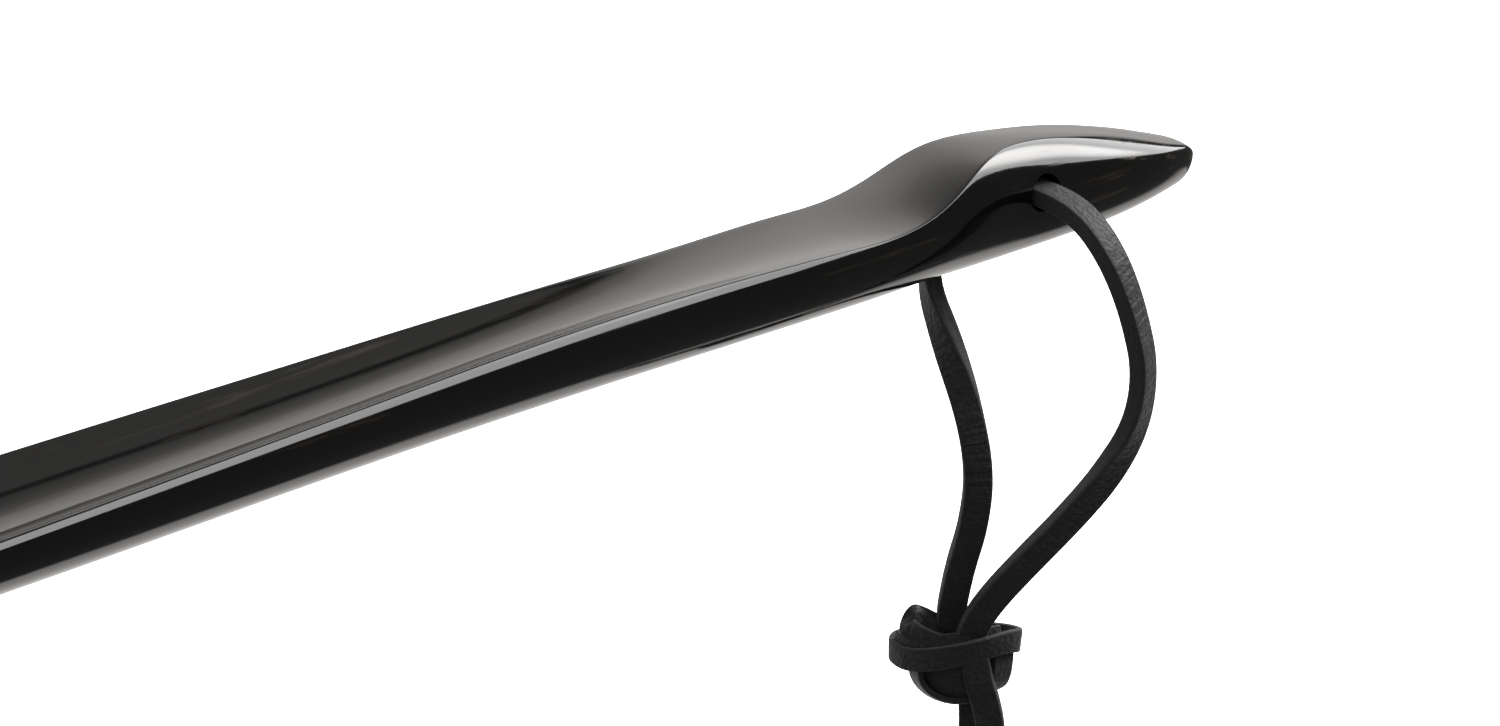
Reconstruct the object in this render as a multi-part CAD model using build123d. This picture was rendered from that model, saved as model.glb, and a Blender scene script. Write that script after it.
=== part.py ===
"""Long-handled shoehorn carved from one piece of black horn, with a hanging lace.

Frame: millimetres, +X along the shoehorn towards the head, +Y across it, +Z up out of the channel.
The origin is the middle of the hand grip, under the thumb scoop.  The horn is one carved solid:
a gutter-shaped blade, a D-shaped shaft with a channel that fades out, a thumb scoop and a
drooping rounded head with a cross hole.  A leather lace runs through the hole, hangs down on
both sides and is tied to itself in one knot with two cut tails.
"""
from build123d import *
from math import asin, cos, pi, radians, sin, sqrt, tan
from typing import NamedTuple
import os

import numpy as np

# ---------------------------------------------------------------- driving sizes of the horn
BLADE_START_X = -120.0      # where the shaft gives way to the blade
BLADE_LENGTH = 323.0        # from there to the far end
BLADE_END_LENGTH = 24.0     # length over which the blade's outline rounds off

HOLE_X = 32.0               # cross hole for the lace
HOLE_Z = 4.4
HOLE_D = 5.2
MOUTH_ROUND = 0.8           # rounding of the hole's two mouths

HEAD_START_X = 30.0         # where the head starts to narrow
HEAD_LENGTH = 35.4          # from there to the tip
TIP_ROUND = 4.0             # length over which the head's tip rounds off
TIP_FLAT = 0.30             # the tip's last section, as a share of the section before the rounding

BLADE_END_X = BLADE_START_X - BLADE_LENGTH
TIP_X = HEAD_START_X + HEAD_LENGTH

# ---------------------------------------------------------------- driving sizes of the lace
LACE_D = 4.0                # width of the flat leather strip, as a round stand-in
LACE_GAP = 0.3              # the lace rides this far above the hole's lower side
THROUGH_FRONT_Y = -4.6      # the stretch inside the hole runs between these two planes
THROUGH_REAR_Y = 3.4
KNOT_R = 7.4
KNOT_HEIGHT = 13.3
KNOT_ROUND = 1.5
KNOT_CENTRE = (28.5, 5.9)   # X and Y of the knot's middle
KNOT_TOP_Z = -60.5


class Station(NamedTuple):
    """The horn's cross section at one place along X."""

    x: float            # place along the shoehorn
    half_width: float   # widest half-width
    wide_z: float       # height of the widest place
    bottom_z: float     # lowest point
    crown_z: float      # where the rounded outer side would close above
    top_z: float        # carved top surface in the middle
    cup: float          # how far that surface rises from the middle to the widest place


def in_blade(share: float) -> float:
    """Place at a share of the blade's length, from the shaft to the far end."""
    return BLADE_START_X - share * BLADE_LENGTH


def in_head(share: float) -> float:
    """Place at a share of the head's length, from the hole to the tip."""
    return HEAD_START_X + share * HEAD_LENGTH


STATIONS = [
    Station(in_blade(1.0), 21.5, 8.6, 1.0, 10.3, 3.1, 6.8),
    Station(in_blade(0.9), 21.5, 7.1, -1.1, 8.9, 1.3, 6.8),
    Station(in_blade(0.775), 20.5, 5.4, -3.1, 7.3, -0.5, 7.0),
    Station(in_blade(0.56), 18.0, 3.4, -5.5, 5.6, -2.3, 7.0),
    Station(in_blade(0.37), 15.2, 2.5, -6.5, 5.1, -2.5, 6.6),
    Station(in_blade(0.185), 12.6, 2.3, -6.6, 5.7, -1.6, 6.0),
    Station(BLADE_START_X, 10.7, 2.9, -6.1, 7.3, 0.6, 5.0),
    Station(-80, 9.3, 3.5, -5.4, 8.1, 2.3, 4.3),
    Station(-40, 8.2, 3.6, -5.3, 8.7, 4.3, 2.8),
    Station(-20, 8.2, 3.5, -5.4, 8.8, 4.9, 1.5),
    Station(-4, 8.5, 3.7, -5.4, 9.2, 4.8, 1.0),
    Station(6, 8.3, 3.8, -5.4, 10.6, 5.4, 0.2),
    Station(14, 8.1, 4.2, -5.3, 13.2, 7.9, -0.5),
    Station(22, 7.6, 4.6, -5.5, 13.3, 10.8, -0.3),
    Station(in_head(0), 6.9, 4.2, -5.6, 12.0, 11.2, -0.9),
    Station(in_head(0.28), 6.8, 4.2, -5.5, 10.1, 9.7, -1.1),
    Station(in_head(0.565), 6.2, 3.8, -5.1, 7.3, 7.2, -1.1),
    Station(in_head(0.79), 4.8, 2.4, -4.1, 4.9, 4.5, -0.7),
    Station(in_head(0.93), 3.1, 1.3, -3.3, 3.3, 2.7, -0.4),
    Station(in_head(1.02), 1.9, 0.6, -2.7, 2.3, 1.5, -0.4),
]

# Corners of the lace's route, from the hole down to the knot and from the knot down the tails.
LACE_Z = HOLE_Z - (HOLE_D - LACE_D) / 2 + LACE_GAP
FRONT_ROUTE = [
    (HOLE_X, THROUGH_FRONT_Y, LACE_Z), (HOLE_X, -10.0, LACE_Z),
    (32.2, -13.9, 3.0), (32.5, -17.2, 0.6), (33.4, -19.8, -3.6), (34.9, -21.2, -9.6),
    (36.6, -21.8, -17.3), (37.2, -20.0, -26.0), (36.2, -15.8, -34.5), (34.3, -10.4, -42.5),
    (31.9, -5.2, -49.7), (29.3, -0.6, -56.6), (28.1, 1.9, -61.5),
]
REAR_ROUTE = [
    (HOLE_X, THROUGH_REAR_Y, LACE_Z), (HOLE_X, 11.6, LACE_Z), (30.4, 12.9, -5.4),
    (28.6, 13.0, -13.3), (27.8, 7.6, -20.7), (27.3, 2.6, -28.7), (27.1, -0.1, -37.0),
    (27.0, 0.8, -45.0), (27.1, 3.6, -52.7), (27.8, 5.9, -59.8), (28.0, 6.2, -61.5),
]
TAIL_TOP_Z = KNOT_TOP_Z - KNOT_HEIGHT
FRONT_TAIL_ROUTE = [
    (29.7, 2.3, TAIL_TOP_Z), (29.7, 2.3, -80.6), (31.1, 0.9, -88.6), (32.2, -1.2, -97.2),
    (32.6, -3.8, -104.6),
]
REAR_TAIL_ROUTE = [
    (32.3, 5.9, TAIL_TOP_Z), (32.3, 5.9, -80.4), (31.8, 6.3, -88.2), (32.1, 5.4, -96.4),
    (33.0, 3.6, -103.6),
]

# ---------------------------------------------------------------- how finely the horn is lofted
BLADE_SECTIONS = 16         # sections from the blade's end to the grip
HEAD_SECTIONS = 22          # sections from the grip to where the tip rounds off
TIP_TURNS = (30, 55, 72)    # degrees round the tip at which sections stand
GRIP_X = -30.0              # where the two spacings meet
CUT_CLEAR = 6.0             # how far the carving tool's shape stands proud of the horn


def smooth_guide(field: str):
    """A natural cubic curve through one field of the stations, as a function of x."""
    xs = np.array([s.x for s in STATIONS])
    ys = np.array([getattr(s, field) for s in STATIONS])
    steps = np.diff(xs)
    count = len(xs)
    matrix = np.eye(count)
    right = np.zeros(count)
    for i in range(1, count - 1):
        matrix[i, i - 1:i + 2] = steps[i - 1], 2 * (steps[i - 1] + steps[i]), steps[i]
        right[i] = 6 * ((ys[i + 1] - ys[i]) / steps[i] - (ys[i] - ys[i - 1]) / steps[i - 1])
    bends = np.linalg.solve(matrix, right)

    def value(x: float) -> float:
        i = int(np.clip(np.searchsorted(xs, x) - 1, 0, count - 2))
        step, before, after = steps[i], x - xs[i], xs[i + 1] - x
        curved = (bends[i] * after ** 3 + bends[i + 1] * before ** 3) / (6 * step)
        straight = (ys[i] / step - bends[i] * step / 6) * after
        return float(curved + straight + (ys[i + 1] / step - bends[i + 1] * step / 6) * before)

    return value


GUIDES = {name: smooth_guide(name) for name in Station._fields if name != "x"}


def station_at(x: float) -> Station:
    """The horn's cross section at any place along X."""
    return Station(x, *(GUIDES[name](x) for name in Station._fields if name != "x"))


def rounded_tip(x: float, scale: float) -> Station:
    """The section at x, shrunk towards its own middle as the tip rounds off."""
    s = station_at(x)
    middle = (s.bottom_z + s.crown_z) / 2
    heights = [middle + (z - middle) * scale for z in (s.wide_z, s.bottom_z, s.crown_z, s.top_z)]
    return Station(x, s.half_width * scale, *heights, s.cup * scale)


def loft_stations() -> list[Station]:
    """All the sections that the horn is lofted through, from the blade to the tip."""
    round_x = TIP_X - TIP_ROUND
    blade = [station_at(x) for x in np.linspace(BLADE_END_X, GRIP_X, BLADE_SECTIONS)]
    head = [station_at(x) for x in np.linspace(GRIP_X, round_x, HEAD_SECTIONS)[1:]]
    tip = [rounded_tip(round_x + TIP_ROUND * sin(radians(a)), cos(radians(a))) for a in TIP_TURNS]
    return blade + head + tip + [rounded_tip(TIP_X, TIP_FLAT)]


def across(x: float, outline: Wire) -> Face:
    """Stand a closed outline, drawn in Y and Z, across the shoehorn at x."""
    plane = Plane(origin=(x, 0, 0), x_dir=(0, 1, 0), z_dir=(1, 0, 0))
    return Face(plane.from_local_coords(outline))


def outer_face(s: Station) -> Face:
    """The rounded outer section: half an ellipse below the widest place and half above."""
    centre = (0, s.wide_z)
    below = EllipticalCenterArc(centre, s.half_width, s.wide_z - s.bottom_z, 180, arc_size=180)
    above = EllipticalCenterArc(centre, s.half_width, s.crown_z - s.wide_z, 0, arc_size=180)
    return across(s.x, Wire([below, above]))


def carved_face(s: Station) -> Face:
    """What the carving takes away above the top surface, which is a parabola across."""
    reach = s.half_width + CUT_CLEAR
    rise = s.cup * (reach / s.half_width) ** 2
    lid = max(s.crown_z, s.top_z + rise) + CUT_CLEAR
    left, right = (-reach, s.top_z + rise), (reach, s.top_z + rise)
    floor = Bezier(left, (0, s.top_z - rise), right)
    sides = Polyline(right, (reach, lid), (-reach, lid), left)
    return across(s.x, Wire([floor, *sides.edges()]))


def horn_body() -> Part:
    """The whole horn: outer form, less the carving, the blade's corners and the cross hole."""
    stations = loft_stations()
    body = loft([outer_face(s) for s in stations]) - loft([carved_face(s) for s in stations])
    half = STATIONS[0].half_width
    end_middle = BLADE_END_X + BLADE_END_LENGTH
    outline = Ellipse(BLADE_END_LENGTH, half)
    outline = Pos(end_middle, 0) * outline
    outline += Pos((end_middle + TIP_X) / 2, 0) * Rectangle(TIP_X - end_middle, 3 * half)
    keep = Pos(0, 0, -2 * half) * extrude(outline, 4 * half)
    return (body & keep) - cross_hole()


def cross_hole() -> Part:
    """The hole for the lace, along Y, with both mouths rounded."""
    mouth_y = GUIDES["half_width"](HOLE_X)
    radius = HOLE_D / 2
    straight = mouth_y - MOUTH_ROUND
    flare = ThreePointArc(
        (radius, straight),
        (radius + MOUTH_ROUND * (1 - cos(pi / 4)), straight + MOUTH_ROUND * sin(pi / 4)),
        (radius + MOUTH_ROUND, mouth_y))
    rest = Polyline((radius + MOUTH_ROUND, mouth_y), (radius + MOUTH_ROUND, mouth_y + CUT_CLEAR),
                    (0, mouth_y + CUT_CLEAR), (0, 0), (radius, 0), (radius, straight))
    half = revolve(make_face([flare, *rest.edges()]), Axis.Y)
    return Pos(HOLE_X, 0, HOLE_Z) * (half + mirror(half, Plane.XZ))


def corner_radii(route: list[tuple]) -> list[float]:
    """Each corner's radius: 0.45 of its shorter run, over the tangent of half its turn."""
    points = [Vector(p) for p in route]
    radii = []
    for before, corner, after in zip(points, points[1:], points[2:]):
        turn = (corner - before).get_angle(after - corner)
        shorter = min((corner - before).length, (after - corner).length)
        radii.append(0.45 * shorter / tan(radians(turn) / 2))
    return radii


def lace_tube(name: str, route: list[tuple]) -> Part:
    """A round stand-in for one stretch of the flat lace, along straight runs and tangent arcs."""
    radii = corner_radii(route)
    path = FilletPolyline(*route, radius=radii)
    start = Plane(origin=path @ 0, z_dir=path % 0)
    tube = sweep(start * Circle(LACE_D / 2), path=path)
    expected = pi * LACE_D ** 2 / 4 * path.length
    print(f"{name}: {path.length:.1f} mm, radii " + " ".join(f"{r:.1f}" for r in radii)
          + f", volume {tube.volume:.1f} against {expected:.1f}")
    return tube


def through_stretch() -> Part:
    """The straight stretch of lace that lies in the cross hole."""
    length = THROUGH_REAR_Y - THROUGH_FRONT_Y
    rod = Rot(-90, 0, 0) * Cylinder(LACE_D / 2, length)
    return Pos(HOLE_X, (THROUGH_FRONT_Y + THROUGH_REAR_Y) / 2, LACE_Z) * rod


def knot() -> Part:
    """A plain stand-in for the tied knot, flat where the lace enters and leaves it."""
    drum = Cylinder(KNOT_R, KNOT_HEIGHT)
    drum = fillet(drum.edges().filter_by(GeomType.CIRCLE), KNOT_ROUND)
    return Pos(*KNOT_CENTRE, KNOT_TOP_Z - KNOT_HEIGHT / 2) * drum


def flat_at(tube: Part, z: float, keep_above: bool) -> Part:
    """Cut a tube's end level, so that it meets the knot face to face."""
    side = Keep.TOP if keep_above else Keep.BOTTOM
    return split(tube, Plane.XY.offset(z), keep=side)


def past(route: list[tuple]) -> list[tuple]:
    """The route with its last point carried on by a lace's width, to be cut level afterwards."""
    last = Vector(route[-1])
    onward = (last - Vector(route[-2])).normalized() * LACE_D
    return route[:-1] + [tuple(last + onward)]


def build_all() -> dict[str, Part]:
    """Every node of the shoehorn by name."""
    return {
        "horn_body": horn_body(),
        "lace_through_hole": through_stretch(),
        "lace_front_leg": flat_at(lace_tube("lace_front_leg", past(FRONT_ROUTE)), KNOT_TOP_Z, True),
        "lace_rear_leg": flat_at(lace_tube("lace_rear_leg", past(REAR_ROUTE)), KNOT_TOP_Z, True),
        "lace_knot": knot(),
        "lace_front_tail": lace_tube("lace_front_tail", FRONT_TAIL_ROUTE),
        "lace_rear_tail": lace_tube("lace_rear_tail", REAR_TAIL_ROUTE),
    }


if __name__ == "__main__":
    os.makedirs("parts", exist_ok=True)
    for node, shape in build_all().items():
        export_step(shape, f"parts/{node}.step")
        print(node, f"{shape.volume:.1f} mm3", len(shape.solids()), "solid(s)")
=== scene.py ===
"""A black horn shoehorn with a leather hanging lace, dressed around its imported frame.

The horn is lofted from cross sections that follow the same guide curves as the solid model, and
replaces it with a dense, evenly curved mesh for its polish.  The lace is a flat leather strip
swept along smooth routes from the cross hole to the knot.  The knot is built up from folded
lengths of the same strip round a solid middle.
"""
from __future__ import annotations

import logging
import math
from dataclasses import dataclass, field
from enum import Enum
from typing import Callable

import bmesh
import bpy
import numpy as np
from mathutils import Matrix, Vector

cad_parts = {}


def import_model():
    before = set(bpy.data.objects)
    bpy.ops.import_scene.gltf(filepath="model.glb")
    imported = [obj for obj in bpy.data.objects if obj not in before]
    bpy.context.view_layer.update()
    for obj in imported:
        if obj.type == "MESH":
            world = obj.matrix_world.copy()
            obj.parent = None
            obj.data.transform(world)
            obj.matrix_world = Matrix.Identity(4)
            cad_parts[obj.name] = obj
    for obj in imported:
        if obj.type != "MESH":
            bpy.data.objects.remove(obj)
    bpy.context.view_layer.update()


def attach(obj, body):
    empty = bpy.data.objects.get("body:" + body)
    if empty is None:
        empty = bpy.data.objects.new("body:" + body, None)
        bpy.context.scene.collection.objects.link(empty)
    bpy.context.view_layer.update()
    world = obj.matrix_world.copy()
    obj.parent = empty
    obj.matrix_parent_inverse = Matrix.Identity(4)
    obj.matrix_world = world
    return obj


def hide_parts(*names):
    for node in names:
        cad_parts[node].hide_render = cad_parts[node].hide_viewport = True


LOG = logging.getLogger("shoehorn")
MM = 0.001


class Slot(Enum):
    """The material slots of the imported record."""

    HORN = "black_horn"
    LEATHER = "black_leather"


class Body(Enum):
    """The bodies that pieces ride on."""

    HORN = "horn"
    LACE = "lace"


# ---------------------------------------------------------------- small shared helpers


def settle(bm: bmesh.types.BMesh, name: str, smooth: bool = True) -> bpy.types.Object:
    """Turn a bmesh into a linked object at the origin.

    Args:
        bm: the finished bmesh, which is freed here.
        name: the object's and the mesh's name.
        smooth: whether its faces are shaded smooth.

    Returns:
        The new object, unturned and unscaled.
    """
    bmesh.ops.recalc_face_normals(bm, faces=bm.faces)
    for face in bm.faces:
        face.smooth = smooth
    mesh = bpy.data.meshes.new(name)
    bm.to_mesh(mesh)
    bm.free()
    piece = bpy.data.objects.new(name, mesh)
    bpy.context.scene.collection.objects.link(piece)
    return piece


def natural_curve(xs: list[float], ys: list[float]) -> Callable[[float], float]:
    """A natural cubic curve through a few points.

    Args:
        xs: rising places of the points.
        ys: the curve's value at each place.

    Returns:
        A function that gives the curve's value at any place.
    """
    steps = np.diff(xs)
    count = len(xs)
    matrix = np.eye(count)
    right = np.zeros(count)
    for i in range(1, count - 1):
        matrix[i, i - 1:i + 2] = steps[i - 1], 2 * (steps[i - 1] + steps[i]), steps[i]
        right[i] = 6 * ((ys[i + 1] - ys[i]) / steps[i] - (ys[i] - ys[i - 1]) / steps[i - 1])
    bends = np.linalg.solve(matrix, right)

    def value(x: float) -> float:
        i = int(np.clip(np.searchsorted(xs, x) - 1, 0, count - 2))
        step, before, after = steps[i], x - xs[i], xs[i + 1] - x
        curved = (bends[i] * after ** 3 + bends[i + 1] * before ** 3) / (6 * step)
        straight = (ys[i] / step - bends[i] * step / 6) * after
        return float(curved + straight + (ys[i + 1] / step - bends[i + 1] * step / 6) * before)

    return value


class NodeDesk:
    """Lays out and links the nodes of one material or world."""

    def __init__(self, tree: bpy.types.NodeTree) -> None:
        """Start on an emptied node tree."""
        self.tree = tree
        tree.nodes.clear()

    def add(self, kind: str, _values: dict | None = None, **settings) -> bpy.types.Node:
        """Add a node.

        Args:
            kind: the node's type, such as ShaderNodeMath.
            _values: input values or the output sockets to link to them, by input name or number.
            settings: attributes of the node itself.

        Returns:
            The new node.
        """
        node = self.tree.nodes.new(kind)
        for key, value in settings.items():
            setattr(node, key, value)
        for key, value in (_values or {}).items():
            if isinstance(value, bpy.types.NodeSocket):
                self.tree.links.new(value, node.inputs[key])
            else:
                node.inputs[key].default_value = value
        return node

    def math(self, operation: str, first: bpy.types.NodeSocket | float,
             second: bpy.types.NodeSocket | float = 0.0) -> bpy.types.NodeSocket:
        """Add a Math node and give its output socket.

        Args:
            operation: the node's operation.
            first: its first value or socket.
            second: its second value or socket.

        Returns:
            The output socket.
        """
        return self.add("ShaderNodeMath", {0: first, 1: second}, operation=operation).outputs[0]

    def ramp(self, factor: bpy.types.NodeSocket, low: float, high: float,
             smooth: bool = True) -> bpy.types.NodeSocket:
        """Map a factor from low..high to 0..1.

        Args:
            factor: the socket to map.
            low: the factor that becomes 0.
            high: the factor that becomes 1, which may be below low.
            smooth: whether the change is eased at both ends.

        Returns:
            The output socket.
        """
        node = self.add("ShaderNodeMapRange", {"Value": factor, "From Min": low, "From Max": high})
        node.interpolation_type = "SMOOTHSTEP" if smooth else "LINEAR"
        return node.outputs[0]

    def mix(self, factor: bpy.types.NodeSocket, first: bpy.types.NodeSocket | tuple,
            second: bpy.types.NodeSocket | tuple) -> bpy.types.NodeSocket:
        """Mix two colours.

        Args:
            factor: the second colour's share.
            first: a colour or its socket.
            second: a colour or its socket.

        Returns:
            The mixed colour's socket.
        """
        node = self.add("ShaderNodeMix", {0: factor}, data_type="RGBA")
        for index, value in ((6, first), (7, second)):
            if isinstance(value, bpy.types.NodeSocket):
                self.tree.links.new(value, node.inputs[index])
            else:
                node.inputs[index].default_value = (*value, 1.0)
        return node.outputs[2]


# ---------------------------------------------------------------- finishes


@dataclass(frozen=True)
class HornFinish:
    """Hand-polished black horn, with faint brown streaks and hair-fine scratches on its grain."""

    black: tuple[float, float, float] = (0.0017, 0.0015, 0.0013)
    brown: tuple[float, float, float] = (0.026, 0.019, 0.014)
    streak_scale: tuple[float, float, float] = (20.0, 1100.0, 620.0)
    streak_band: tuple[float, float] = (0.54, 0.72)
    cloud_band: tuple[float, float] = (0.44, 0.62)
    hair_scale: tuple[float, float, float] = (55.0, 1700.0, 1700.0)
    hair_turn: float = 0.06
    scratch_band: tuple[float, float] = (0.60, 0.70)
    scratch_depth: float = 0.8
    ior: float = 1.55
    polish: float = 0.045
    smear_dulling: float = 2.2
    scratch_dulling: float = 0.10
    streak_dulling: float = 0.12
    relief: float = 0.06
    relief_depth: float = 0.00004

    def material(self) -> bpy.types.Material:
        """Build the horn's material."""
        material = bpy.data.materials.new("polished_black_horn")
        material.use_nodes = True
        desk = NodeDesk(material.node_tree)
        place = desk.add("ShaderNodeTexCoord").outputs["Object"]
        along = desk.add("ShaderNodeMapping", {"Vector": place, "Scale": self.streak_scale})
        streaks = desk.add("ShaderNodeTexNoise", {"Vector": along.outputs[0], "Scale": 1.0,
                                                  "Detail": 5.0, "Roughness": 0.6})
        cloud = desk.add("ShaderNodeTexNoise", {"Vector": place, "Scale": 30.0, "Detail": 2.0})
        share = desk.math("MULTIPLY", desk.ramp(streaks.outputs[0], *self.streak_band),
                          desk.ramp(cloud.outputs[0], *self.cloud_band))
        colour = desk.mix(share, self.black, self.brown)
        fine = desk.add("ShaderNodeMapping", {"Vector": place, "Scale": self.hair_scale,
                                              "Rotation": (0.0, 0.0, self.hair_turn)})
        hair = desk.add("ShaderNodeTexNoise", {"Vector": fine.outputs[0], "Scale": 1.0,
                                               "Detail": 2.0})
        scratch = desk.ramp(hair.outputs[0], *self.scratch_band)
        smear = desk.add("ShaderNodeTexNoise", {"Vector": place, "Scale": 60.0, "Detail": 3.0})
        polish = desk.add("ShaderNodeMapRange", {"Value": smear.outputs[0], "From Min": 0.3,
                                                 "From Max": 0.7, "To Min": self.polish,
                                                 "To Max": self.polish * self.smear_dulling})
        scratched = desk.math("MULTIPLY", scratch, self.scratch_dulling)
        streaked = desk.math("MULTIPLY", share, self.streak_dulling)
        rough = desk.math("ADD", polish.outputs[0], desk.math("ADD", scratched, streaked))
        height = desk.math("SUBTRACT", hair.outputs[0],
                           desk.math("MULTIPLY", scratch, self.scratch_depth))
        bump = desk.add("ShaderNodeBump", {"Strength": self.relief, "Height": height,
                                           "Distance": self.relief_depth})
        shader = desk.add("ShaderNodeBsdfPrincipled", {
            "Base Color": colour, "Roughness": rough, "IOR": self.ior,
            "Normal": bump.outputs[0]})
        desk.add("ShaderNodeOutputMaterial", {"Surface": shader.outputs[0]})
        return material


@dataclass(frozen=True)
class LeatherFinish:
    """Black leather strip: pebbled and creased on its broad faces, with painted shade darkening the
    pebble valleys, paler and fibrous where cut.
    """

    face: tuple[float, float, float] = (0.0250, 0.0242, 0.0248)
    worn: tuple[float, float, float] = (0.034, 0.033, 0.034)
    edge: tuple[float, float, float] = (0.038, 0.036, 0.036)
    # painted shade: the darker colour blended into the valleys between the pebbles
    painted_valley_shade: tuple[float, float, float] = (0.010, 0.010, 0.0105)
    painted_valley_shade_share: float = 0.25
    painted_valley_shade_band: tuple[float, float] = (0.30, 0.62)
    fibre_shade: float = 0.6
    pebble_size: float = 0.62
    pebble_depth: float = 1.3
    crease_gap: float = 0.95
    crease_stretch: float = 0.16
    crease_band: tuple[float, float] = (0.40, 0.60)
    fold_height: float = 2.2
    fibre_scale: tuple[float, float, float] = (0.35, 5.0, 1.0)
    fibre_band: tuple[float, float] = (0.35, 0.65)
    fibre_height: float = 0.8
    wear_band: tuple[float, float] = (0.40, 0.68)
    relief: float = 0.8
    relief_depth: float = 0.00012
    face_roughness: float = 0.52
    cut_dulling: float = 0.22

    def material(self) -> bpy.types.Material:
        """Build the leather's material, which reads the strip's own UV map and attributes."""
        material = bpy.data.materials.new("black_leather_strip")
        material.use_nodes = True
        desk = NodeDesk(material.node_tree)
        place = desk.add("ShaderNodeTexCoord").outputs["Object"]
        strip = desk.add("ShaderNodeUVMap", uv_map=FlatStrip.UV_NAME).outputs[0]
        edge = desk.add("ShaderNodeAttribute", attribute_name=FlatStrip.EDGE_NAME).outputs["Fac"]
        bent = desk.add("ShaderNodeAttribute",
                        attribute_name=FlatStrip.WRINKLE_NAME).outputs["Fac"]
        broad = desk.math("SUBTRACT", 1.0, edge)
        pebbles = desk.add("ShaderNodeTexVoronoi", {
            "Vector": place, "Scale": 1 / (self.pebble_size * MM), "Smoothness": 0.35},
            feature="SMOOTH_F1").outputs["Distance"]
        # mask of the pebble valleys: they get painted shade and no wear
        painted_valley_shade = desk.ramp(pebbles, *self.painted_valley_shade_band)
        crossing = desk.add("ShaderNodeMapping", {
            "Vector": strip,
            "Scale": (1 / self.crease_gap, self.crease_stretch / self.crease_gap, 1.0)})
        creases = desk.add("ShaderNodeTexNoise", {"Vector": crossing.outputs[0], "Scale": 1.0,
                                                  "Detail": 2.0, "Roughness": 0.5}).outputs[0]
        folds = desk.math("MULTIPLY", desk.ramp(creases, *self.crease_band), bent)
        lengthwise = desk.add("ShaderNodeMapping", {"Vector": strip, "Scale": self.fibre_scale})
        fibres = desk.add("ShaderNodeTexNoise", {"Vector": lengthwise.outputs[0], "Scale": 1.0,
                                                 "Detail": 3.0, "Roughness": 0.6}).outputs[0]
        cloud = desk.add("ShaderNodeTexNoise", {"Vector": place, "Scale": 150.0, "Detail": 3.0})
        wear = desk.math("MULTIPLY", desk.ramp(cloud.outputs[0], *self.wear_band),
                         desk.math("SUBTRACT", 1.0, painted_valley_shade))
        skin = desk.mix(wear, self.face, self.worn)
        # painted shade: darken the pebble valleys by a share of the valley colour
        skin = desk.mix(desk.math("MULTIPLY", painted_valley_shade, self.painted_valley_shade_share), skin, self.painted_valley_shade)
        shade = tuple(self.fibre_shade * c for c in self.edge)
        cut = desk.mix(desk.ramp(fibres, *self.fibre_band), shade, self.edge)
        pebbled = desk.math("MULTIPLY", desk.math("MULTIPLY", pebbles, broad), self.pebble_depth)
        height = desk.math("SUBTRACT", desk.math("MULTIPLY", folds, self.fold_height), pebbled)
        frayed = desk.math("MULTIPLY", desk.math("MULTIPLY", fibres, edge), self.fibre_height)
        height = desk.math("ADD", height, frayed)
        bump = desk.add("ShaderNodeBump", {"Strength": self.relief, "Height": height,
                                           "Distance": self.relief_depth})
        dull = desk.math("ADD", self.face_roughness, desk.math("MULTIPLY", edge, self.cut_dulling))
        shader = desk.add("ShaderNodeBsdfPrincipled", {
            "Base Color": desk.mix(edge, skin, cut), "Roughness": dull, "IOR": 1.5,
            "Specular IOR Level": 0.20,
            "Sheen Weight": 0.08, "Sheen Roughness": 0.5, "Normal": bump.outputs[0]})
        desk.add("ShaderNodeOutputMaterial", {"Surface": shader.outputs[0]})
        return material


@dataclass(frozen=True)
class FloorFinish:
    """Plain pale studio floor."""

    white: tuple[float, float, float] = (0.92, 0.92, 0.92)
    glow: float = 1.1

    def material(self) -> bpy.types.Material:
        """Build the floor's material."""
        material = bpy.data.materials.new("pale_floor")
        material.use_nodes = True
        desk = NodeDesk(material.node_tree)
        shader = desk.add("ShaderNodeBsdfPrincipled", {
            "Base Color": (*self.white, 1.0), "Roughness": 0.9,
            "Emission Color": (1.0, 1.0, 1.0, 1.0), "Emission Strength": self.glow})
        desk.add("ShaderNodeOutputMaterial", {"Surface": shader.outputs[0]})
        return material


# ---------------------------------------------------------------- the horn


@dataclass
class Station:
    """The horn's cross section at one place along X, in millimetres."""

    x: float
    half_width: float
    wide_z: float
    bottom_z: float
    crown_z: float
    top_z: float
    cup: float


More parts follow.
